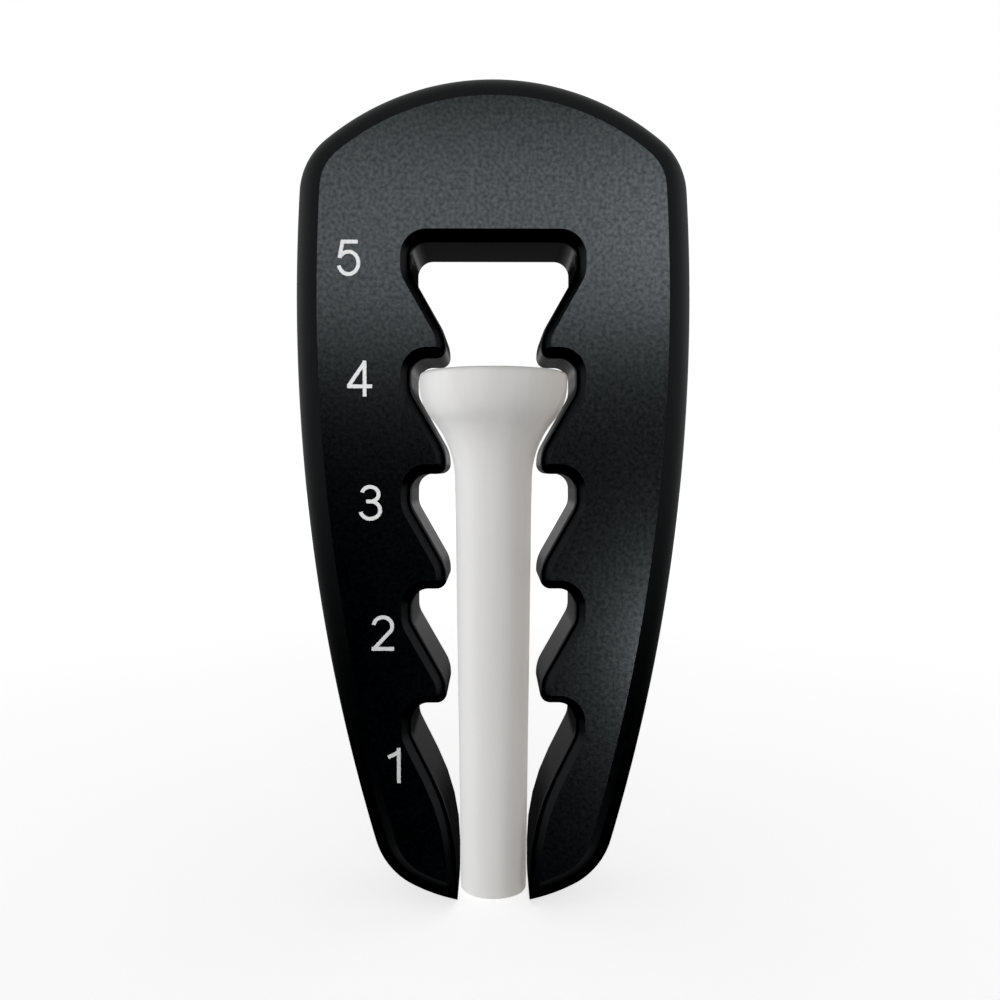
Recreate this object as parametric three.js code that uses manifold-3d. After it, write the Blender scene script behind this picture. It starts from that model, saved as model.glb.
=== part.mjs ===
// Golf tee standing in a tee-height gauge.
//
// The gauge is one thick moulded plate with a stepped slot that is open at the
// bottom, so the plate stands over the tee on two feet. Each of the five notches
// has a flat ledge for the rim of the tee, at a set height above the ground.
//
// Millimetres, +Z up. The origin is on the axis of the tee, at ground level.
// The front of the gauge, with the numerals, faces -Y.

import * as THREE from "three";
import { mergeVertices } from "three/addons/utils/BufferGeometryUtils.js";
import Module from "manifold-3d";

// ---------------------------------------------------------------- gauge plate

const PLATE_THICKNESS = 10.5;
const PLATE_HEIGHT = 72.2;

// The outline, from the top down on one side, is five tangent arcs.
const TOP_ARC_RADIUS = 23.1;
const SHOULDER_RADIUS = 6.2;
const SIDE_ARC_RADIUS = 167.2;
const SIDE_ARC_CENTRE_Z = 52.3; // where the plate is widest
const PLATE_HALF_WIDTH = 17.25;
const FOOT_CORNER_RADIUS = 6.5;
const FOOT_ARC_RADIUS = 15.8;

// Both faces end in a crease. There the slot has a 45 degree chamfer, and then a
// rounding of this width and depth into its wall. The outer edge has only a rounding.
const OUTER_EDGE = { chamfer: 0, width: 2.2, depth: 2.8 };
const SLOT_EDGE = { chamfer: 0.5, width: 0.35, depth: 0.85 };

// ----------------------------------------------------------------------- slot

const NOTCH_COUNT = 5;
const NOTCH_PITCH = 10;
const FIRST_LEDGE_Z = 17.96; // notch 1, the lowest
const NOTCH_HALF_WIDTH = 7.08;
const NOTCH_WALL_DROP = 2.76; // upright wall under a ledge
const NOTCH_SLANT = THREE.MathUtils.degToRad(29.6); // from upright
const TOOTH_HALF_GAP = 4.06;
const FOOT_HALF_GAP = 3.2;
const THROAT_CORNER_Z = 7.4; // where the lowest slant would meet the foot wall

const LEDGE_CORNER_RADIUS = 1.4;
const WALL_BEND_RADIUS = 2;
const TOOTH_BEND_RADIUS = 3.5;
const TOOTH_TIP_RADIUS = 0.9;
const THROAT_RADIUS = 20;

// ------------------------------------------------------------------------ tee

const TEE_LENGTH = 83;
const TEE_RIM_Z = 47.1;
const HEAD_RADIUS = 6.7;
const RIM_ROUNDING = 0.5;
const BELL_RADIUS = 5.0; // convex arc under the rim
const BELL_CENTRE_Z = 46.05;
const FLARE_ANGLE = THREE.MathUtils.degToRad(40.5); // steepest slope of the flare
const NECK_RADIUS = 3.49;
const GROUND_RADIUS = 2.98;
const POINT_LENGTH = 12;
const POINT_TOP_RADIUS = 2.9;
const POINT_TIP_RADIUS = 0.4;
const CUP_RIM_RADIUS = 5.9;
const CUP_DEPTH = 1.6;
const TEE_SIDES = 40;

// ------------------------------------------------------------------- numerals

const NUMERAL_HEIGHT = 3.05;
const NUMERAL_STROKE = 0.32;
const NUMERAL_THICKNESS = 0.1;
const NUMERAL_PLACES = {
  1: [-8.6, 12.8],
  2: [-9.5, 24.3],
  3: [-10.5, 35.5],
  4: [-11.4, 46.1],
  5: [-12.3, 56.3],
};

// ---------------------------------------------------------------- small tools

const RIGHT_ANGLE = Math.PI / 2;

/** Points of an arc, both ends included, as [x, z] pairs. */
function arcPoints(cx, cz, radius, from, to, segments) {
  const points = [];
  for (let i = 0; i <= segments; i++) {
    const angle = from + ((to - from) * i) / segments;
    points.push([cx + radius * Math.cos(angle), cz + radius * Math.sin(angle)]);
  }
  return points;
}

/**
 * Centre of the circle of the given radius that lies inside two circles and
 * touches both, on the left of the line from the first centre to the second.
 */
function centreInside(first, second, radius) {
  const firstReach = first.radius - radius;
  const secondReach = second.radius - radius;
  const dx = second.x - first.x;
  const dz = second.z - first.z;
  const gap = Math.hypot(dx, dz);
  const along = (firstReach ** 2 - secondReach ** 2 + gap ** 2) / (2 * gap);
  const across = Math.sqrt(firstReach ** 2 - along ** 2);
  return {
    x: first.x + (dx * along - dz * across) / gap,
    z: first.z + (dz * along + dx * across) / gap,
    radius,
  };
}

/** Direction from one centre to another, as an angle. */
function angleTo(a, b) {
  return Math.atan2(b.z - a.z, b.x - a.x);
}

/**
 * A path of straight lines with rounded corners, moved sideways by `shift`,
 * positive to the left of its direction. Each corner is [x, z, radius].
 */
function roundedPath(start, corners, end, shift, stepsPerTurn) {
  const points = [];
  const nodes = [start, ...corners, end];
  for (let i = 1; i < nodes.length - 1; i++) {
    const [x, z, radius] = nodes[i];
    const inward = Math.atan2(z - nodes[i - 1][1], x - nodes[i - 1][0]);
    const outward = Math.atan2(nodes[i + 1][1] - z, nodes[i + 1][0] - x);
    const turn = Math.atan2(Math.sin(outward - inward), Math.cos(outward - inward));
    const left = Math.sign(turn);
    const tangent = radius * Math.tan(Math.abs(turn) / 2);
    const cx = x - tangent * Math.cos(inward) - left * radius * Math.sin(inward);
    const cz = z - tangent * Math.sin(inward) + left * radius * Math.cos(inward);
    const moved = radius - left * shift;
    const segments = Math.max(2, Math.round((Math.abs(turn) / RIGHT_ANGLE) * stepsPerTurn));
    const from = inward - left * RIGHT_ANGLE;
    points.push(...arcPoints(cx, cz, moved, from, from + turn, segments));
  }
  return points;
}

/** The same points on the other side of the middle, in the opposite order. */
function mirrored(points) {
  return points.map(([x, z]) => [-x, z]).reverse();
}

/** A closed body through counter-clockwise rings of [x, z] points, each at its own y. */
function loftAlongY(rings) {
  const count = rings[0].points.length;
  const positions = rings.flatMap(({ y, points }) => points.flatMap(([x, z]) => [x, y, z]));
  const indices = [];
  for (let r = 0; r < rings.length - 1; r++) {
    for (let i = 0; i < count; i++) {
      const a = r * count + i;
      const b = r * count + ((i + 1) % count);
      indices.push(a, a + count, b, b, a + count, b + count);
    }
  }
  const last = (rings.length - 1) * count;
  for (const [offset, ring, front] of [[0, rings[0], true], [last, rings.at(-1), false]]) {
    const contour = ring.points.map(([x, z]) => new THREE.Vector2(x, z));
    for (const [a, b, c] of THREE.ShapeUtils.triangulateShape(contour, [])) {
      indices.push(offset + a, offset + (front ? b : c), offset + (front ? c : b));
    }
  }
  const geometry = new THREE.BufferGeometry();
  geometry.setAttribute("position", new THREE.Float32BufferAttribute(positions, 3));
  geometry.setIndex(indices);
  return geometry;
}

function namedMesh(name, geometry, color, roughness) {
  const material = new THREE.MeshStandardMaterial({ color, roughness, metalness: 0 });
  const mesh = new THREE.Mesh(geometry, material);
  mesh.name = name;
  return mesh;
}

// ---------------------------------------------------------------- gauge plate

/** Right half of the outer outline, top to foot, moved inwards by `inset`. */
function outerHalf(inset, footHalfGap) {
  const top = { x: 0, z: PLATE_HEIGHT - TOP_ARC_RADIUS, radius: TOP_ARC_RADIUS };
  const side = {
    x: PLATE_HALF_WIDTH - SIDE_ARC_RADIUS,
    z: SIDE_ARC_CENTRE_Z,
    radius: SIDE_ARC_RADIUS,
  };
  // The feet stand on the ground at their inner corners.
  const foot = {
    x: 0,
    z: Math.sqrt(FOOT_ARC_RADIUS ** 2 - FOOT_HALF_GAP ** 2),
    radius: FOOT_ARC_RADIUS,
  };
  const shoulder = centreInside(side, top, SHOULDER_RADIUS);
  const corner = centreInside(foot, side, FOOT_CORNER_RADIUS);
  const topEnd = angleTo(top, shoulder);
  const sideStart = angleTo(side, shoulder);
  const sideEnd = angleTo(side, corner);
  const footStart = angleTo(foot, corner);
  const footEnd = -Math.acos(footHalfGap / (foot.radius - inset));
  const arcs = [
    [top, RIGHT_ANGLE, topEnd, 8],
    [shoulder, topEnd, sideStart, 5],
    [side, sideStart, sideEnd, 9],
    [corner, sideEnd, footStart, 5],
    [foot, footStart, footEnd, 5],
  ];
  return arcs.flatMap(([arc, from, to, segments], index) => {
    const points = arcPoints(arc.x, arc.z, arc.radius - inset, from, to, segments);
    return index === 0 ? points : points.slice(1);
  });
}

/** Right half of the slot, foot to top, widened by `flare`. */
function slotHalf(flare) {
  const corners = [[FOOT_HALF_GAP, THROAT_CORNER_Z, THROAT_RADIUS]];
  const slantDrop = (NOTCH_HALF_WIDTH - TOOTH_HALF_GAP) / Math.tan(NOTCH_SLANT);
  for (let notch = 0; notch < NOTCH_COUNT; notch++) {
    const ledge = FIRST_LEDGE_Z + notch * NOTCH_PITCH;
    const bend = ledge - NOTCH_WALL_DROP;
    if (notch > 0) {
      corners.push([TOOTH_HALF_GAP, ledge - NOTCH_PITCH, TOOTH_TIP_RADIUS]);
      corners.push([TOOTH_HALF_GAP, bend - slantDrop, TOOTH_BEND_RADIUS]);
    }
    corners.push([NOTCH_HALF_WIDTH, bend, WALL_BEND_RADIUS]);
    corners.push([NOTCH_HALF_WIDTH, ledge, LEDGE_CORNER_RADIUS]);
  }
  const topLedge = FIRST_LEDGE_Z + (NOTCH_COUNT - 1) * NOTCH_PITCH;
  // Going up, the slot is on the left, so widening it moves the path to the right.
  return roundedPath([FOOT_HALF_GAP, 0], corners, [0, topLedge], -flare, 5);
}

/** The whole edge of the plate as one closed ring, counter-clockwise seen from the front. */
function plateRing(inset, flare) {
  const outer = outerHalf(inset, FOOT_HALF_GAP + flare);
  const slot = slotHalf(flare);
  const right = [...outer, ...slot];
  const left = mirrored(right);
  // The crown point is shared by both halves.
  return [...right, ...left.slice(0, -1)].reverse();
}

/** How far an edge stands back from the wall, at a depth below the face. */
function setBack(edge, depth) {
  const left = Math.max(edge.chamfer + edge.depth - depth, 0);
  if (left >= edge.depth) return edge.width + left - edge.depth;
  const radius = (edge.width ** 2 + edge.depth ** 2) / (2 * edge.width);
  return radius - Math.sqrt(radius ** 2 - left ** 2);
}

function makeGaugePlate() {
  const half = PLATE_THICKNESS / 2;
  const slotEdgeEnd = SLOT_EDGE.chamfer + SLOT_EDGE.depth;
  const depths = [
    0,
    SLOT_EDGE.chamfer,
    SLOT_EDGE.chamfer + SLOT_EDGE.depth / 2,
    slotEdgeEnd,
    (slotEdgeEnd + OUTER_EDGE.depth) / 2,
    OUTER_EDGE.depth,
  ];
  const front = depths.map((depth) => ({
    y: -half + depth,
    points: plateRing(setBack(OUTER_EDGE, depth), setBack(SLOT_EDGE, depth)),
  }));
  const back = front.map(({ y, points }) => ({ y: -y, points })).reverse();
  return namedMesh("gauge_plate", loftAlongY([...front, ...back]), 0x2b2b2d, 0.5);
}

// ------------------------------------------------------------------------ tee

/** The tee's outline as [radius, height] points, from the point up and into the cup. */
function teeOutline() {
  const tipZ = TEE_RIM_Z - TEE_LENGTH;
  const bellX = HEAD_RADIUS - BELL_RADIUS;
  const cos = Math.cos(FLARE_ANGLE);
  const sin = Math.sin(FLARE_ANGLE);
  // The hollow arc of the flare touches both the bell and the upright neck.
  const flareRadius = (bellX + BELL_RADIUS * cos - NECK_RADIUS) / (1 - cos);
  const flareX = NECK_RADIUS + flareRadius;
  const flareZ = BELL_CENTRE_Z - (BELL_RADIUS + flareRadius) * sin;
  // The cup is part of a sphere.
  const cupRadius = (CUP_RIM_RADIUS ** 2 + CUP_DEPTH ** 2) / (2 * CUP_DEPTH);
  const cupZ = TEE_RIM_Z - CUP_DEPTH + cupRadius;
  const cupAngle = Math.asin(CUP_RIM_RADIUS / cupRadius);
  const rimX = HEAD_RADIUS - RIM_ROUNDING;
  const rimZ = TEE_RIM_Z - RIM_ROUNDING;
  return [
    [0, tipZ],
    [POINT_TIP_RADIUS, tipZ],
    [POINT_TOP_RADIUS, tipZ + POINT_LENGTH],
    [GROUND_RADIUS, 0],
    ...arcPoints(flareX, flareZ, flareRadius, Math.PI, Math.PI - FLARE_ANGLE, 5),
    ...arcPoints(bellX, BELL_CENTRE_Z, BELL_RADIUS, -FLARE_ANGLE, 0, 5).slice(1),
    ...arcPoints(rimX, rimZ, RIM_ROUNDING, 0, RIGHT_ANGLE, 3),
    ...arcPoints(0, cupZ, cupRadius, cupAngle - RIGHT_ANGLE, -RIGHT_ANGLE, 4).slice(0, -1),
    [0, TEE_RIM_Z - CUP_DEPTH],
  ];
}

function makeTee() {
  const outline = teeOutline().map(([radius, z]) => new THREE.Vector2(radius, z));
  const lathe = new THREE.LatheGeometry(outline, TEE_SIDES);
  lathe.rotateX(RIGHT_ANGLE); // the lathe turns round Y, the tee stands along Z
  lathe.deleteAttribute("normal");
  lathe.deleteAttribute("uv");
  return namedMesh("golf_tee", mergeVertices(lathe, 1e-4), 0xd2ceca, 0.4);
}

// ------------------------------------------------------------------- numerals

const wasm = await Module();
wasm.setup();

/** Points of an ellipse arc, angles in degrees, as [x, z] pairs. */
function bowl(cx, cz, rx, rz, from, to) {
  const segments = Math.max(3, Math.round(Math.abs(to - from) / 20));
  return arcPoints(0, 0, 1, (from * Math.PI) / 180, (to * Math.PI) / 180, segments).map(
    ([x, z]) => [cx + rx * x, cz + rz * z],
  );
}

/** A closed outline of constant width along a centre line of [x, z] points. */
function strokeShape(line) {
  const half = NUMERAL_STROKE / 2;
  const normals = line.slice(1).map(([x, z], i) => {
    return new THREE.Vector2(line[i][1] - z, x - line[i][0]).normalize();
  });
  const sides = line.map(([x, z], i) => {
    const before = normals[Math.max(i - 1, 0)];
    const after = normals[Math.min(i, normals.length - 1)];
    const across = before.clone().add(after).normalize();
    across.multiplyScalar(half / across.dot(before));
    return [new THREE.Vector2(x, z).add(across), new THREE.Vector2(x, z).sub(across)];
  });
  const left = sides.map((side) => side[0]);
  const right = sides.map((side) => side[1]);
  return new THREE.Shape([...left, ...right.reverse()]);
}

function toSolid(geometry) {
  geometry.deleteAttribute("normal");
  geometry.deleteAttribute("uv");
  const merged = mergeVertices(geometry, 1e-5);
  return new wasm.Manifold(
    new wasm.Mesh({
      numProp: 3,
      vertProperties: merged.attributes.position.array,
      triVerts: new Uint32Array(merged.index.array),
    }),
  );
}

function toGeometry(solid) {
  const mesh = solid.getMesh();
  const geometry = new THREE.BufferGeometry();
  geometry.setAttribute("position", new THREE.BufferAttribute(mesh.vertProperties, 3));
  geometry.setIndex(new THREE.BufferAttribute(mesh.triVerts, 1));
  return geometry;
}

/** Centre lines of each numeral's strokes, about the numeral's own middle. */
function numeralStrokes() {
  const high = NUMERAL_HEIGHT / 2;
  const reach = high - NUMERAL_STROKE / 2; // where a stroke lies along the top or bottom
  return {
    1: [
      [[0.42, -high], [0.42, high]],
      [[0.42, 1.24], [0.1, 0.98], [-0.5, 0.72]],
    ],
    2: [
      [...bowl(0, 0.6, 0.8, reach - 0.6, 172, -32), [-0.7, -1.28]],
      [[-0.97, -reach], [0.95, -reach]],
    ],
    3: [
      bowl(-0.04, 0.74, 0.72, reach - 0.74, 165, -90),
      bowl(-0.04, -0.62, 0.84, reach - 0.62, 90, -168),
      [[-0.38, 0.12], [0, 0.12]],
    ],
    4: [
      [[0.42, -high], [0.42, high]],
      [[-1.06, -0.66], [1.06, -0.66]],
      [[0.44, 1.4], [-0.94, -0.62]],
    ],
    5: [
      [[0.8, reach], [-0.5, reach], [-0.76, 0]],
      bowl(0, -0.42, 0.84, reach - 0.42, 152, -166),
    ],
  };
}

function makeNumeral(digit, strokes) {
  const solids = strokes.map((line) => {
    const options = { depth: NUMERAL_THICKNESS, bevelEnabled: false };
    return toSolid(new THREE.ExtrudeGeometry(strokeShape(line), options));
  });
  const whole = solids.reduce((joined, solid) => joined.add(solid));
  const mesh = namedMesh(`numeral_${digit}`, toGeometry(whole), 0xdededc, 0.6);
  // The strokes are drawn flat and stand up on the front face, facing -Y.
  mesh.rotation.x = RIGHT_ANGLE;
  const [x, z] = NUMERAL_PLACES[digit];
  mesh.position.set(x, -PLATE_THICKNESS / 2, z);
  return mesh;
}

// ------------------------------------------------------------------- assembly

const gauge = new THREE.Group();
gauge.add(makeGaugePlate());
for (const [digit, strokes] of Object.entries(numeralStrokes())) {
  gauge.add(makeNumeral(digit, strokes));
}

const teeAndGauge = new THREE.Group();
teeAndGauge.add(makeTee(), gauge);

export default teeAndGauge;
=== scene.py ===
"""Looks of a golf tee standing in a moulded tee-height gauge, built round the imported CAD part.

The shapes are the CAD part's own, made again from the same rules with many more steps,
so every visible piece stays in its CAD solid's place. Shape functions work in
millimetres as (x, z) or (radius, z) pairs, and mesh builders turn them into metres.
"""

import math

import bpy
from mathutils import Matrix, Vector


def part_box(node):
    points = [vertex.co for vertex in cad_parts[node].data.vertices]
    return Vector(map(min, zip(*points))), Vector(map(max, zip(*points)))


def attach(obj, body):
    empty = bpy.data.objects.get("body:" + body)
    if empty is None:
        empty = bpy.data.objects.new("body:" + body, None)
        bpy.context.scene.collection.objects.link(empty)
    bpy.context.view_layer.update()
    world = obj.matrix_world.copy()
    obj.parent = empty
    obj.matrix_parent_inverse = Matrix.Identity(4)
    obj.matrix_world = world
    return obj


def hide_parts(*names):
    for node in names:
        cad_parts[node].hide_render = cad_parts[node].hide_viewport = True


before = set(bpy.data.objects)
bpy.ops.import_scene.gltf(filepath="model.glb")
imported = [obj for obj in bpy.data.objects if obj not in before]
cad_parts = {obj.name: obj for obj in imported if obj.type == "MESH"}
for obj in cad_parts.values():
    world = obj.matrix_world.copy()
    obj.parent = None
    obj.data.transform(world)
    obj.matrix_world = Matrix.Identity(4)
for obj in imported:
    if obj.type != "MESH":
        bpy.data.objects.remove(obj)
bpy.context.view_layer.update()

MM = 0.001
QUARTER = math.pi / 2

# ------------------------------------------------------------ sizes from the frame

plate_low, plate_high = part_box("gauge_plate")
tee_low, tee_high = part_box("golf_tee")

GROUND_Z = plate_low.z
PLATE_HALF_WIDTH = plate_high.x / MM
PLATE_HALF_THICKNESS = plate_high.y / MM
PLATE_HEIGHT = plate_high.z / MM
TEE_RIM_Z = tee_high.z / MM
TEE_TIP_Z = tee_low.z / MM
HEAD_RADIUS = tee_high.x / MM

# ------------------------------------------------------------ gauge sizes, mm

TOP_ARC_RADIUS = 23.1
SHOULDER_RADIUS = 6.2
SIDE_ARC_RADIUS = 167.2
SIDE_ARC_CENTRE_Z = 52.3
FOOT_CORNER_RADIUS = 6.5
FOOT_ARC_RADIUS = 15.8

OUTER_EDGE = {"chamfer": 0, "width": 2.2, "depth": 2.8}
SLOT_EDGE = {"chamfer": 0.5, "width": 0.35, "depth": 0.85}
CHAMFER_STEPS = 2
ROUNDING_STEPS = 5
OUTER_STEPS = 8

NOTCH_COUNT = 5
NOTCH_PITCH = 10
FIRST_LEDGE_Z = 17.96
NOTCH_HALF_WIDTH = 7.08
NOTCH_WALL_DROP = 2.76
NOTCH_SLANT = math.radians(29.6)
TOOTH_HALF_GAP = 4.06
FOOT_HALF_GAP = 3.2
THROAT_CORNER_Z = 7.4
LEDGE_CORNER_RADIUS = 1.4
WALL_BEND_RADIUS = 2
TOOTH_BEND_RADIUS = 3.5
TOOTH_TIP_RADIUS = 0.9
THROAT_RADIUS = 20
SLOT_STEPS = 14  # to a quarter turn
LEAST_CORNER_STEPS = 4
OUTLINE_STEPS = (40, 20, 48, 20, 20)  # half the top, shoulder, side, foot corner, foot
GAUGE_CREASE = math.radians(12)  # edges sharper than this stay sharp

# ------------------------------------------------------------ tee sizes, mm

RIM_ROUNDING = 0.5
BELL_RADIUS = 5.0
BELL_CENTRE_BELOW_RIM = 1.05
FLARE_ANGLE = math.radians(40.5)
NECK_RADIUS = 3.49
TEE_GROUND_RADIUS = 2.98
POINT_LENGTH = 12
POINT_TOP_RADIUS = 2.9
POINT_TIP_RADIUS = 0.4
CUP_RIM_RADIUS = 5.9
CUP_DEPTH = 1.6
POINT_SWELL = 0.12  # at the middle of the point, which is a little rounder than a cone
TIP_STEPS = 6
POINT_STEPS = 12
BURIED_STEPS = 6
SHAFT_STEPS = 10
HEAD_STEPS = 18  # in the flare, and again in the bell above it
RIM_STEPS = 8
CUP_STEPS = 16
TEE_SIDES = 144
TEE_CREASE = math.radians(28)

# ------------------------------------------------------------ numeral sizes, mm

NUMERAL_HEIGHT = 3.05
NUMERAL_STROKE = 0.32
INK_THICKNESS = 0.06
INK_SUNK = 0.01  # how far the ink reaches into the face, so that no gap shows
BOWL_STEP = 6  # degrees
LEAST_BOWL_STEPS = 6

# ------------------------------------------------------------ camera and stage, m

CAMERA_BACK = 0.0868  # from the tee's axis
CAMERA_HEIGHT = 0.0384
CAMERA_TILT_DOWN = math.radians(1.867)
CAMERA_TURN_RIGHT = math.radians(0.394)
CAMERA_LENS = 34.28  # mm
CAMERA_SENSOR = 36  # mm

LIGHT_AIM = Vector((0, 0, 0.038))
LIGHT_DISTANCE = 0.6
INK_LIGHT_AIM = Vector((-0.008, -0.005, 0.052))  # beside the gap between numerals 4 and 5
INK_LIGHT_DISTANCE = 0.048

FLOOR_HALF = 1500  # mm
# The floor's painted glow: dimmer under the tee, as a painted shade round it, and brighter further
# away.
NEAR_GLOW = 0.72  # under the tee, rising to FAR_GLOW at GLOW_REACH
FAR_GLOW = 1.0
GLOW_REACH = 0.5

# Brightness of the room behind and round the object, beside a white of 1.
DOME = 0.24
DOME_BEHIND = 0.02  # share of the dome that is left straight behind
BACK_GLOW = 0.33
SIDE_GLOW = 0.12
FLOOR_BOUNCE = 0.22

BLACK_LEVEL = 0.0015  # what is darker than this comes out black


# ============================================================ plane shapes


def arc_points(cx, cz, radius, start, end, segments):
    """Points of an arc, both ends included."""
    angles = [start + (end - start) * i / segments for i in range(segments + 1)]
    return [(cx + radius * math.cos(a), cz + radius * math.sin(a)) for a in angles]


def straight(first, second, segments):
    """Points of a straight line, both ends included."""
    (ax, az), (bx, bz) = first, second
    shares = [i / segments for i in range(segments + 1)]
    return [(ax + (bx - ax) * t, az + (bz - az) * t) for t in shares]


def centre_inside(first, second, radius):
    """Centre of the circle that lies inside two circles (x, z, radius) and touches both,
    on the left of the line from the first centre to the second."""
    first_reach = first[2] - radius
    second_reach = second[2] - radius
    dx = second[0] - first[0]
    dz = second[1] - first[1]
    gap = math.hypot(dx, dz)
    along = (first_reach**2 - second_reach**2 + gap**2) / (2 * gap)
    across = math.sqrt(first_reach**2 - along**2)
    x = first[0] + (dx * along - dz * across) / gap
    z = first[1] + (dz * along + dx * across) / gap
    return (x, z, radius)


def angle_to(first, second):
    return math.atan2(second[1] - first[1], second[0] - first[0])


def rounded_path(start, corners, end, shift, steps_per_turn):
    """A path of straight lines with rounded corners (x, z, radius), moved sideways by
    shift, positive to the left of its direction."""
    points = []
    nodes = [start, *corners, end]
    for before, corner, after in zip(nodes, nodes[1:], nodes[2:]):
        x, z, radius = corner
        inward = angle_to(before, corner)
        outward = angle_to(corner, after)
        turn = math.remainder(outward - inward, 2 * math.pi)
        left = math.copysign(1, turn)
        tangent = radius * math.tan(abs(turn) / 2)
        cx = x - tangent * math.cos(inward) - left * radius * math.sin(inward)
        cz = z - tangent * math.sin(inward) + left * radius * math.cos(inward)
        segments = max(LEAST_CORNER_STEPS, round(abs(turn) / QUARTER * steps_per_turn))
        from_angle = inward - left * QUARTER
        points += arc_points(cx, cz, radius - left * shift, from_angle, from_angle + turn, segments)
    return points


def set_back(edge, depth):
    """How far an edge stands back from the wall, at a depth below the face."""
    left = max(edge["chamfer"] + edge["depth"] - depth, 0)
    if left >= edge["depth"]:
        return edge["width"] + left - edge["depth"]
    radius = (edge["width"] ** 2 + edge["depth"] ** 2) / (2 * edge["width"])
    return radius - math.sqrt(radius**2 - left**2)


def outer_half(inset, foot_half_gap):
    """Right half of the plate's outer outline, top to foot, moved inwards by inset."""
    top = (0, PLATE_HEIGHT - TOP_ARC_RADIUS, TOP_ARC_RADIUS)
    side = (PLATE_HALF_WIDTH - SIDE_ARC_RADIUS, SIDE_ARC_CENTRE_Z, SIDE_ARC_RADIUS)
    foot = (0, math.sqrt(FOOT_ARC_RADIUS**2 - FOOT_HALF_GAP**2), FOOT_ARC_RADIUS)
    shoulder = centre_inside(side, top, SHOULDER_RADIUS)
    corner = centre_inside(foot, side, FOOT_CORNER_RADIUS)
    turns = [
        QUARTER,
        angle_to(top, shoulder),
        angle_to(side, shoulder),
        angle_to(side, corner),
        angle_to(foot, corner),
        -math.acos(foot_half_gap / (foot[2] - inset)),
    ]
    points = []
    for (cx, cz, radius), start, end, segments in zip(
        (top, shoulder, side, corner, foot), turns, turns[1:], OUTLINE_STEPS
    ):
        arc = arc_points(cx, cz, radius - inset, start, end, segments)
        points += arc if not points else arc[1:]
    return points


def slot_half(flare):
    """Right half of the slot, foot to top, widened by flare."""
    slant_drop = (NOTCH_HALF_WIDTH - TOOTH_HALF_GAP) / math.tan(NOTCH_SLANT)
    corners = [(FOOT_HALF_GAP, THROAT_CORNER_Z, THROAT_RADIUS)]
    for notch in range(NOTCH_COUNT):
        ledge = FIRST_LEDGE_Z + notch * NOTCH_PITCH
        bend = ledge - NOTCH_WALL_DROP
        if notch > 0:
            corners.append((TOOTH_HALF_GAP, ledge - NOTCH_PITCH, TOOTH_TIP_RADIUS))
            corners.append((TOOTH_HALF_GAP, bend - slant_drop, TOOTH_BEND_RADIUS))
        corners.append((NOTCH_HALF_WIDTH, bend, WALL_BEND_RADIUS))
        corners.append((NOTCH_HALF_WIDTH, ledge, LEDGE_CORNER_RADIUS))
    top_ledge = FIRST_LEDGE_Z + (NOTCH_COUNT - 1) * NOTCH_PITCH
    return rounded_path((FOOT_HALF_GAP, 0), corners, (0, top_ledge), -flare, SLOT_STEPS)


def plate_ring(inset, flare):
    """The whole edge of the plate as one closed ring, counter-clockwise from the front."""
    right = outer_half(inset, FOOT_HALF_GAP + flare) + slot_half(flare)
    left = [(-x, z) for x, z in reversed(right)]
    return list(reversed(right + left[:-1]))


# ============================================================ meshes


def new_piece(name, verts, faces):
    """A mesh object from points in millimetres."""
    mesh = bpy.data.meshes.new(name)
    mesh.from_pydata([Vector(v) * MM for v in verts], [], faces)
    mesh.validate()
    piece = bpy.data.objects.new(name, mesh)
    bpy.context.scene.collection.objects.link(piece)
    return piece


def smooth_shade(piece, crease_angle):
    """Smooth shading with creases, and flats that stay flat beside their rounded edges."""
    piece.data.shade_smooth()
    piece.data.set_sharp_from_angle(angle=crease_angle)
    weighted = piece.modifiers.new("flats", "WEIGHTED_NORMAL")
    weighted.keep_sharp = True


def make_gauge_plate():
    """The plate as a stack of rings, closed by its two flat faces, which are polygons 0 and 1."""
    chamfer, rounding = SLOT_EDGE["chamfer"], SLOT_EDGE["depth"]
    rest = OUTER_EDGE["depth"] - chamfer - rounding
    depths = [chamfer * i / CHAMFER_STEPS for i in range(CHAMFER_STEPS)]
    depths += [chamfer + rounding * i / ROUNDING_STEPS for i in range(ROUNDING_STEPS)]
    depths += [chamfer + rounding + rest * i / OUTER_STEPS for i in range(OUTER_STEPS + 1)]
    front = []
    for depth in depths:
        ring = plate_ring(set_back(OUTER_EDGE, depth), set_back(SLOT_EDGE, depth))
        front.append((depth - PLATE_HALF_THICKNESS, ring))
    rings = front + [(-y, ring) for y, ring in reversed(front)]
    count = len(rings[0][1])
    verts = [(x, y, z) for y, ring in rings for x, z in ring]
    faces = [list(range(count))]
    faces.append([len(verts) - 1 - i for i in range(count)])
    for r in range(len(rings) - 1):
        for i in range(count):
            a = r * count + i
            b = r * count + (i + 1) % count
            faces.append([a, a + count, b + count, b])
    piece = new_piece("gauge_body", verts, faces)
    smooth_shade(piece, GAUGE_CREASE)
    return piece


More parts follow.
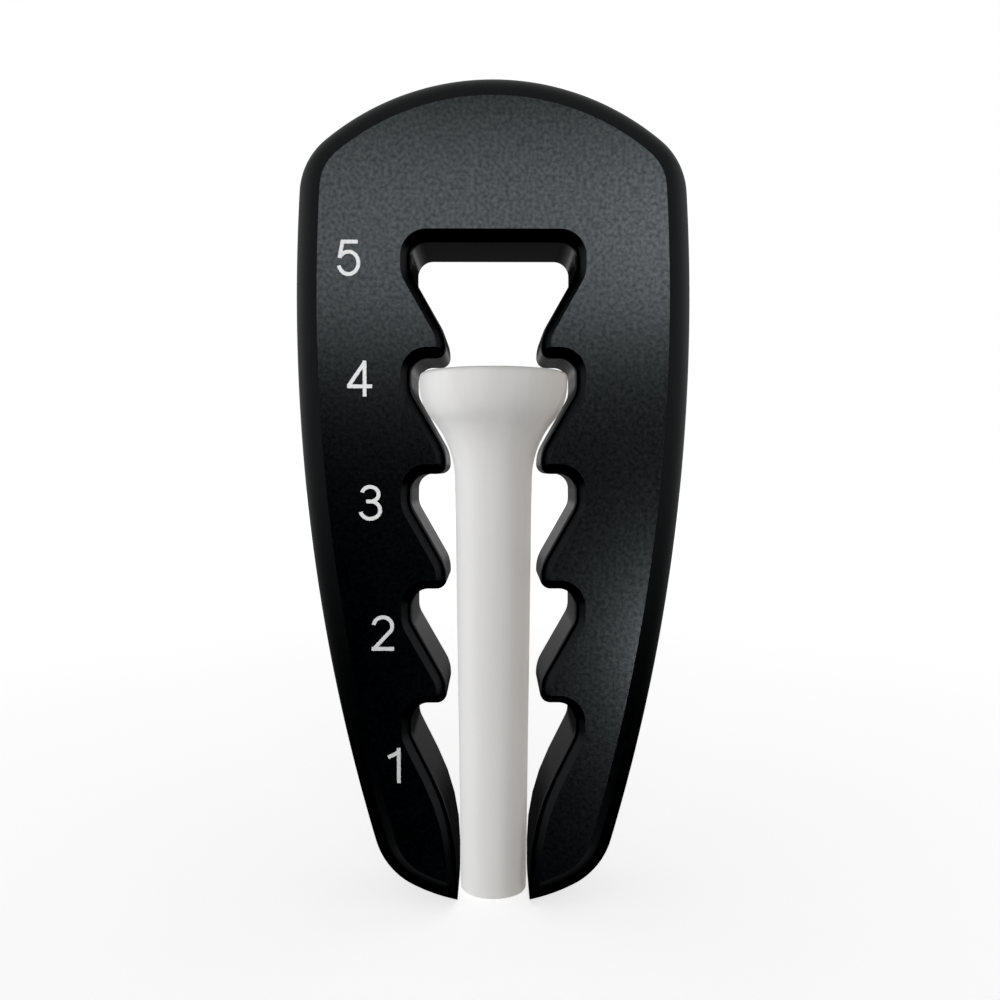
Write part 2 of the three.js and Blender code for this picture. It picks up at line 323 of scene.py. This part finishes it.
def tee_outline():
    """The tee's outline as (radius, z), from the point up and down into the cup."""
    bell_x = HEAD_RADIUS - BELL_RADIUS
    bell_z = TEE_RIM_Z - BELL_CENTRE_BELOW_RIM
    cos = math.cos(FLARE_ANGLE)
    sin = math.sin(FLARE_ANGLE)
    flare_radius = (bell_x + BELL_RADIUS * cos - NECK_RADIUS) / (1 - cos)
    flare_x = NECK_RADIUS + flare_radius
    flare_z = bell_z - (BELL_RADIUS + flare_radius) * sin
    cup_radius = (CUP_RIM_RADIUS**2 + CUP_DEPTH**2) / (2 * CUP_DEPTH)
    cup_z = TEE_RIM_Z - CUP_DEPTH + cup_radius
    cup_angle = math.asin(CUP_RIM_RADIUS / cup_radius)
    rim_x = HEAD_RADIUS - RIM_ROUNDING
    rim_z = TEE_RIM_Z - RIM_ROUNDING
    tip_z = TEE_TIP_Z + POINT_TIP_RADIUS
    point_top_z = TEE_TIP_Z + POINT_LENGTH
    point = []
    for i in range(1, POINT_STEPS):
        t = i / POINT_STEPS
        swell = POINT_SWELL * math.sin(math.pi * t)
        radius = POINT_TIP_RADIUS + (POINT_TOP_RADIUS - POINT_TIP_RADIUS) * t + swell
        point.append((radius, tip_z + (point_top_z - tip_z) * t))
    point_top = (POINT_TOP_RADIUS, point_top_z)
    ground = (TEE_GROUND_RADIUS, 0)
    neck = (NECK_RADIUS, flare_z)
    return [
        *arc_points(0, tip_z, POINT_TIP_RADIUS, -QUARTER, 0, TIP_STEPS),
        *point,
        *straight(point_top, ground, BURIED_STEPS),
        *straight(ground, neck, SHAFT_STEPS)[1:-1],
        *arc_points(flare_x, flare_z, flare_radius, math.pi, math.pi - FLARE_ANGLE, HEAD_STEPS),
        *arc_points(bell_x, bell_z, BELL_RADIUS, -FLARE_ANGLE, 0, HEAD_STEPS)[1:],
        *arc_points(rim_x, rim_z, RIM_ROUNDING, 0, QUARTER, RIM_STEPS),
        *arc_points(0, cup_z, cup_radius, cup_angle - QUARTER, -QUARTER, CUP_STEPS),
    ]


def make_tee():
    outline = tee_outline()
    rows = outline[1:-1]
    verts = [(0, 0, outline[0][1])]
    for radius, z in rows:
        for k in range(TEE_SIDES):
            angle = 2 * math.pi * k / TEE_SIDES
            verts.append((radius * math.cos(angle), radius * math.sin(angle), z))
    top = len(verts)
    verts.append((0, 0, outline[-1][1]))
    faces = []
    for k in range(TEE_SIDES):
        after = (k + 1) % TEE_SIDES
        faces.append([0, 1 + after, 1 + k])
        for r in range(len(rows) - 1):
            low = 1 + r * TEE_SIDES
            high = low + TEE_SIDES
            faces.append([low + k, low + after, high + after, high + k])
        last = 1 + (len(rows) - 1) * TEE_SIDES
        faces.append([last + k, last + after, top])
    piece = new_piece("turned_tee", verts, faces)
    smooth_shade(piece, TEE_CREASE)
    return piece


# ------------------------------------------------------------ numerals


def bowl(cx, cz, rx, rz, start, end):
    """Points of an ellipse arc, angles in degrees."""
    segments = max(LEAST_BOWL_STEPS, round(abs(end - start) / BOWL_STEP))
    arc = arc_points(0, 0, 1, math.radians(start), math.radians(end), segments)
    return [(cx + rx * x, cz + rz * z) for x, z in arc]


def stroke_outline(line):
    """A closed outline of constant width along a centre line."""
    half = NUMERAL_STROKE / 2
    normals = []
    for (ax, az), (bx, bz) in zip(line, line[1:]):
        length = math.hypot(bx - ax, bz - az)
        normals.append(Vector(((az - bz) / length, (bx - ax) / length)))
    left, right = [], []
    for i, (x, z) in enumerate(line):
        before = normals[max(i - 1, 0)]
        after = normals[min(i, len(normals) - 1)]
        across = (before + after).normalized()
        across *= half / across.dot(before)
        left.append((x + across.x, z + across.y))
        right.append((x - across.x, z - across.y))
    return left + right[::-1]


def numeral_strokes():
    """Centre lines of each numeral's strokes, about the numeral's own middle."""
    high = NUMERAL_HEIGHT / 2
    reach = high - NUMERAL_STROKE / 2
    return {
        1: [
            [(0.42, -high), (0.42, high)],
            [(0.42, 1.24), (0.1, 0.98), (-0.5, 0.72)],
        ],
        2: [
            [*bowl(0, 0.6, 0.8, reach - 0.6, 172, -32), (-0.7, -1.28)],
            [(-0.97, -reach), (0.95, -reach)],
        ],
        3: [
            bowl(-0.04, 0.74, 0.72, reach - 0.74, 165, -90),
            bowl(-0.04, -0.62, 0.84, reach - 0.62, 90, -168),
            [(-0.38, 0.12), (0, 0.12)],
        ],
        4: [
            [(0.42, -high), (0.42, high)],
            [(-1.06, -0.66), (1.06, -0.66)],
            [(0.44, 1.4), (-0.94, -0.62)],
        ],
        5: [
            [(0.8, reach), (-0.5, reach), (-0.76, 0)],
            bowl(0, -0.42, 0.84, reach - 0.42, 152, -166),
        ],
    }


def stroke_solid(name, line, centre):
    """One stroke as a thin solid on the front face."""
    outline = [(centre.x / MM + x, centre.z / MM + z) for x, z in stroke_outline(line)]
    count = len(outline)
    outside = -PLATE_HALF_THICKNESS - INK_THICKNESS
    inside = -PLATE_HALF_THICKNESS + INK_SUNK
    verts = [(x, outside, z) for x, z in outline] + [(x, inside, z) for x, z in outline]
    faces = [list(range(count)), [2 * count - 1 - i for i in range(count)]]
    for i in range(count):
        after = (i + 1) % count
        faces.append([i, i + count, after + count, after])
    piece = new_piece(name, verts, faces)
    signed = sum(
        ax * bz - bx * az for (ax, az), (bx, bz) in zip(outline, outline[1:] + outline[:1])
    )
    if signed < 0:
        piece.data.flip_normals()
    return piece


def make_numeral(digit, strokes):
    low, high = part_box(f"numeral_{digit}")
    # The strokes are drawn about a middle that the numeral's box doesn't always share.
    drawn = [point for line in strokes for point in stroke_outline(line)]
    off_x = (min(x for x, z in drawn) + max(x for x, z in drawn)) / 2 * MM
    off_z = (min(z for x, z in drawn) + max(z for x, z in drawn)) / 2 * MM
    centre = (low + high) / 2 - Vector((off_x, 0, off_z))
    solids = [stroke_solid(f"ink_{digit}", line, centre) for line in strokes]
    piece = solids[0]
    for other in solids[1:]:
        join = piece.modifiers.new("join", "BOOLEAN")
        join.operation = "UNION"
        join.solver = "EXACT"
        join.object = other
    if solids[1:]:
        graph = bpy.context.evaluated_depsgraph_get()
        joined = bpy.data.meshes.new_from_object(piece.evaluated_get(graph))
        piece.modifiers.clear()
        piece.data = joined
        for other in solids[1:]:
            bpy.data.objects.remove(other)
    return piece


# ============================================================ materials


class Nodes:
    """A small helper for building one material's node tree."""

    def __init__(self, name):
        self.material = bpy.data.materials.new(name)
        self.material.use_nodes = True
        self.tree = self.material.node_tree
        self.shader = self.tree.nodes["Principled BSDF"]
        self.place = self.tree.nodes.new("ShaderNodeTexCoord").outputs["Object"]

    def add(self, kind, **settings):
        node = self.tree.nodes.new(kind)
        for key, value in settings.items():
            setattr(node, key, value)
        return node

    def link(self, output, socket):
        self.tree.links.new(output, socket)

    def noise(self, scale_mm, detail=2.0, roughness=0.5, stretch=(1, 1, 1)):
        """Noise whose features are about scale_mm across, longer where stretch is under 1."""
        mapping = self.add("ShaderNodeMapping")
        mapping.inputs["Scale"].default_value = [s / (scale_mm * MM) for s in stretch]
        self.link(self.place, mapping.inputs["Vector"])
        node = self.add("ShaderNodeTexNoise")
        node.inputs["Scale"].default_value = 1
        node.inputs["Detail"].default_value = detail
        node.inputs["Roughness"].default_value = roughness
        self.link(mapping.outputs["Vector"], node.inputs["Vector"])
        return node.outputs["Fac"]

    def span(self, value, low, high, to_low, to_high):
        """Value mapped from low..high to to_low..to_high, clamped."""
        node = self.add("ShaderNodeMapRange")
        node.inputs["From Min"].default_value = low
        node.inputs["From Max"].default_value = high
        node.inputs["To Min"].default_value = to_low
        node.inputs["To Max"].default_value = to_high
        self.link(value, node.inputs["Value"])
        return node.outputs["Result"]

    def tone(self, value, low, high, first, second):
        """Colour that goes from first to second as value goes from low to high."""
        node = self.add("ShaderNodeMix", data_type="RGBA")
        node.inputs["A"].default_value = (*first, 1)
        node.inputs["B"].default_value = (*second, 1)
        self.link(self.span(value, low, high, 0, 1), node.inputs["Factor"])
        return node.outputs["Result"]

    def bump(self, height, distance_mm, strength, under=None):
        """A normal tipped by height, on top of the normal under it."""
        node = self.add("ShaderNodeBump")
        node.inputs["Strength"].default_value = strength
        node.inputs["Distance"].default_value = distance_mm * MM
        self.link(height, node.inputs["Height"])
        if under is not None:
            self.link(under, node.inputs["Normal"])
        return node.outputs["Normal"]

    def feed(self, socket_name, output):
        """Drive one of the shader's sockets from a node."""
        self.link(output, self.shader.inputs[socket_name])

    def set(self, **values):
        """Plain values for the shader's sockets, with _ for each space in a name."""
        for key, value in values.items():
            self.shader.inputs[key.replace("_", " ")].default_value = value


def gauge_face_material():
    """Flat faces: blue-black plastic with the fine grain of a spark-eroded mould."""
    m = Nodes("gauge_face_grain")
    grain = m.noise(0.4, detail=1, roughness=0.4)
    sand = m.noise(0.33, detail=1, roughness=0.4)
    drift = m.noise(2.6, detail=2)
    m.feed("Base Color", m.tone(drift, 0.35, 0.7, (0.0010, 0.0012, 0.0015), (0.0022, 0.0027, 0.0032)))
    # The sand grains shine a little more than the plastic between them.
    m.feed("Coat Weight", m.span(sand, 0.3, 0.7, 0, 0.56))
    m.feed("Roughness", m.span(grain, 0.25, 0.75, 0.19, 0.22))
    m.feed("Normal", m.bump(grain, 0.010, 0.06))
    m.set(IOR=1.39, Specular_Tint=(0.80, 0.94, 1.0, 1), Coat_IOR=1.5, Coat_Roughness=0.205)
    return m.material


def gauge_edge_material():
    """Edges and walls: the same plastic from the polished part of the mould."""
    m = Nodes("gauge_edge_satin")
    ripple = m.noise(0.9, detail=3)
    fine = m.noise(0.1, detail=2)
    cloud = m.noise(7, detail=2)
    m.feed("Base Color", m.tone(cloud, 0.3, 0.7, (0.0010, 0.0012, 0.0014), (0.0020, 0.0022, 0.0024)))
    m.feed("Roughness", m.span(ripple, 0.3, 0.7, 0.18, 0.24))
    m.feed("Normal", m.bump(fine, 0.003, 0.3))
    m.set(IOR=1.5, Specular_Tint=(0.93, 0.98, 1.0, 1))
    return m.material


def tee_material():
    """White lacquer over turned hardwood: faint grain along the shaft shows through."""
    m = Nodes("tee_white_lacquer")
    pores = m.noise(0.22, detail=3, roughness=0.6, stretch=(1, 1, 0.03))
    bands = m.noise(1.6, detail=2, stretch=(1, 1, 0.05))
    coat = m.noise(3.0, detail=2)
    m.feed("Base Color", m.tone(bands, 0.3, 0.7, (0.80, 0.792, 0.78), (0.84, 0.833, 0.824)))
    m.feed("Roughness", m.span(coat, 0.3, 0.7, 0.48, 0.56))
    grain = m.bump(pores, 0.012, 0.25)
    m.feed("Normal", m.bump(coat, 0.02, 0.15, under=grain))
    m.set(IOR=1.5)
    return m.material


def ink_material():
    """Pad-printed white ink, thin enough to follow the grain under it."""
    m = Nodes("numeral_white_ink")
    sand = m.noise(0.17, detail=3, roughness=0.65)
    m.feed("Base Color", m.tone(sand, 0.35, 0.7, (0.70, 0.70, 0.70), (0.84, 0.84, 0.84)))
    m.feed("Roughness", m.span(sand, 0.3, 0.7, 0.55, 0.65))
    m.feed("Normal", m.bump(sand, 0.02, 0.4))
    return m.material


def floor_material():
    """White sweep with a painted glow, which is dimmer near the tee as a painted shade round it and
    grows with distance until it meets the white background without a line."""
    m = Nodes("floor_white")
    cloud = m.noise(60, detail=2)
    m.feed("Base Color", m.tone(cloud, 0, 1, (0.78, 0.78, 0.78), (0.82, 0.82, 0.82)))
    away = m.add("ShaderNodeVectorMath", operation="LENGTH")
    m.link(m.place, away.inputs[0])
    # Painted glow, weaker near the tee so that it paints shade round it.
    m.feed("Emission Strength", m.span(away.outputs["Value"], 0, GLOW_REACH, NEAR_GLOW, FAR_GLOW))
    m.set(Roughness=0.9, Emission_Color=(1, 1, 1, 1))
    return m.material


# ============================================================ pieces on their bodies

gauge = make_gauge_plate()
gauge.data.materials.append(gauge_face_material())
gauge.data.materials.append(gauge_edge_material())
for polygon in gauge.data.polygons:
    polygon.material_index = 0 if polygon.index < 2 else 1
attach(gauge, "gauge")
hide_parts("gauge_plate")

tee = make_tee()
tee.data.materials.append(tee_material())
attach(tee, "tee")
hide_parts("golf_tee")
tee.visible_glossy = False  # the plate doesn't mirror the tee in the photo

ink = ink_material()
numerals = []
for digit, strokes in numeral_strokes().items():
    numeral = make_numeral(digit, strokes)
    numeral.data.materials.append(ink)
    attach(numeral, "gauge")
    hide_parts(f"numeral_{digit}")
    numerals.append(numeral)

# ============================================================ stage, lights, camera


def make_floor():
    """A wide floor at the ground line, which only the camera sees."""
    z = GROUND_Z / MM
    corners = [(x * FLOOR_HALF, y * FLOOR_HALF, z) for x, y in ((-1, -1), (1, -1), (1, 1), (-1, 1))]
    floor = new_piece("floor", corners, [[0, 1, 2, 3]])
    floor.data.materials.append(floor_material())
    floor.visible_glossy = False
    floor.visible_diffuse = False
    floor.visible_shadow = False


def soft_light(
    name, azimuth, elevation, spread, brightness,
    colour=(1, 1, 1), only=(), aim=LIGHT_AIM, distance=LIGHT_DISTANCE,
):
    """A soft box round the object: azimuth 0 is in front of it, and positive is to its right.
    Spread is the angle that the box fills, across and up. Angles are in degrees.
    Where only names pieces, the light falls on them alone and nothing else shades it."""
    light = bpy.data.lights.new(name, "AREA")
    light.shape = "RECTANGLE"
    light.size, light.size_y = [2 * distance * math.tan(math.radians(s) / 2) for s in spread]
    light.energy = math.pi * light.size * light.size_y * brightness
    light.color = colour
    turn = math.radians(azimuth)
    rise = math.radians(elevation)
    flat = math.cos(rise)
    away = Vector((math.sin(turn) * flat, -math.cos(turn) * flat, math.sin(rise)))
    box = bpy.data.objects.new(name, light)
    box.location = aim + distance * away
    box.rotation_euler = away.to_track_quat("Z", "Y").to_euler()
    box.visible_camera = False
    bpy.context.scene.collection.objects.link(box)
    if only:
        lit = bpy.data.collections.new(name)
        for piece in only:
            lit.objects.link(piece)
        box.light_linking.receiver_collection = lit
        box.light_linking.blocker_collection = lit
        # It would dim the light behind pieces that shouldn't shade it.
        light.cycles.use_multiple_importance_sampling = False


def make_world():
    """White for the camera. For everything else it is a dim room: a soft dome that fades
    out below the horizon, in front, where the plate faces, and behind; a low strip of glow
    behind for the slot's walls; a glow at the sides for its chamfers; and a bounce from the
    floor in front."""
    world = bpy.data.worlds.new("studio")
    bpy.context.scene.world = world
    world.use_nodes = True
    nodes, links = world.node_tree.nodes, world.node_tree.links
    background = nodes["Background"]
    background.inputs["Color"].default_value = (1, 1, 1, 1)
    direction = nodes.new("ShaderNodeTexCoord")
    axes = nodes.new("ShaderNodeSeparateXYZ")
    links.new(direction.outputs["Generated"], axes.inputs["Vector"])
    # Parts of the direction looked in, from -1 to 1: to the right, backwards and up.
    x, y, z = (axes.outputs[axis] for axis in "XYZ")

    def ramp(value, low, high, to_low, to_high):
        """Value eased from low..high to to_low..to_high."""
        node = nodes.new("ShaderNodeMapRange")
        node.interpolation_type = "SMOOTHSTEP"
        node.inputs["From Min"].default_value = low
        node.inputs["From Max"].default_value = high
        node.inputs["To Min"].default_value = to_low
        node.inputs["To Max"].default_value = to_high
        links.new(value, node.inputs["Value"])
        return node.outputs["Result"]

    def combine(operation, first, *others):
        """All the values multiplied or added up."""
        for other in others:
            node = nodes.new("ShaderNodeMath")
            node.operation = operation
            links.new(first, node.inputs[0])
            links.new(other, node.inputs[1])
            first = node.outputs["Value"]
        return first

    above = ramp(z, -0.42, 0.05, 0, DOME)
    not_in_front = ramp(y, -0.85, -0.65, 0, 1)
    not_behind = ramp(y, 0.75, 0.95, 1, DOME_BEHIND)
    dome = combine("MULTIPLY", above, not_in_front, not_behind)

    behind = ramp(y, 0.75, 0.97, 0, BACK_GLOW)
    dimmer_below = ramp(z, -0.04, 0.03, 0.3, 1)
    no_higher = ramp(z, 0.05, 0.16, 1, 0)
    darkest_low = ramp(z, -0.24, -0.1, 0.1, 1)
    glow = combine("MULTIPLY", behind, dimmer_below, no_higher, darkest_low)

    either_side = ramp(combine("MULTIPLY", x, x), 0.5, 0.9, 0, SIDE_GLOW)
    sides = combine("MULTIPLY", either_side, ramp(z, -0.2, 0.3, 0.2, 1))

    well_below = ramp(z, -0.66, -0.42, FLOOR_BOUNCE, 0)
    bounce = combine("MULTIPLY", well_below, ramp(y, -0.5, -0.25, 1, 0))

    seen = nodes.new("ShaderNodeLightPath")
    brightness = nodes.new("ShaderNodeMix")
    links.new(seen.outputs["Is Camera Ray"], brightness.inputs["Factor"])
    links.new(combine("ADD", dome, glow, sides, bounce), brightness.inputs["A"])
    brightness.inputs["B"].default_value = 1.0
    links.new(brightness.outputs["Result"], background.inputs["Strength"])


def make_camera():
    lens = bpy.data.cameras.new("camera")
    lens.lens = CAMERA_LENS
    lens.sensor_width = CAMERA_SENSOR
    lens.clip_start = 0.005
    lens.clip_end = 20
    camera = bpy.data.objects.new("camera", lens)
    camera.location = (0, -CAMERA_BACK, CAMERA_HEIGHT)
    camera.rotation_euler = (QUARTER - CAMERA_TILT_DOWN, 0, -CAMERA_TURN_RIGHT)
    bpy.context.scene.collection.objects.link(camera)
    bpy.context.scene.camera = camera


make_floor()
make_world()
make_camera()

# The plate's sheens, above and at the lower right. The numbers after each light's name
# are its azimuth, its elevation, its spread across and up, and its brightness.
soft_light("sheen_wide", 3, 16, (38, 13), 2.85)
soft_light("sheen_right", 15, 15, (12, 9), 1.5)
soft_light("sheen_low", 19, -12.3, (12, 4.5), 28)

# Close to the upper numerals, so that the lower ones get less.
soft_light(
    "ink_near", 0, 0, (30, 30), 6.9, only=numerals, aim=INK_LIGHT_AIM, distance=INK_LIGHT_DISTANCE
)

# The tee is lit mostly from the left, with a warm fill on the right.
soft_light("tee_left", -80, -4, (100, 90), 1.33, colour=(0.985, 0.99, 1), only=(tee,))
soft_light("tee_front", 0, 0, (60, 60), 0.1, only=(tee,))
soft_light("tee_right", 60, 5, (40, 60), 0.35, colour=(1, 0.86, 0.72), only=(tee,))
soft_light("tee_rim", 125, 0, (60, 70), 1.0, colour=(1, 0.95, 0.9), only=(tee,))

view = bpy.context.scene.view_settings
view.view_transform = "Standard"
view.use_curve_mapping = True
view.curve_mapping.black_level = (BLACK_LEVEL, BLACK_LEVEL, BLACK_LEVEL)
view.curve_mapping.update()
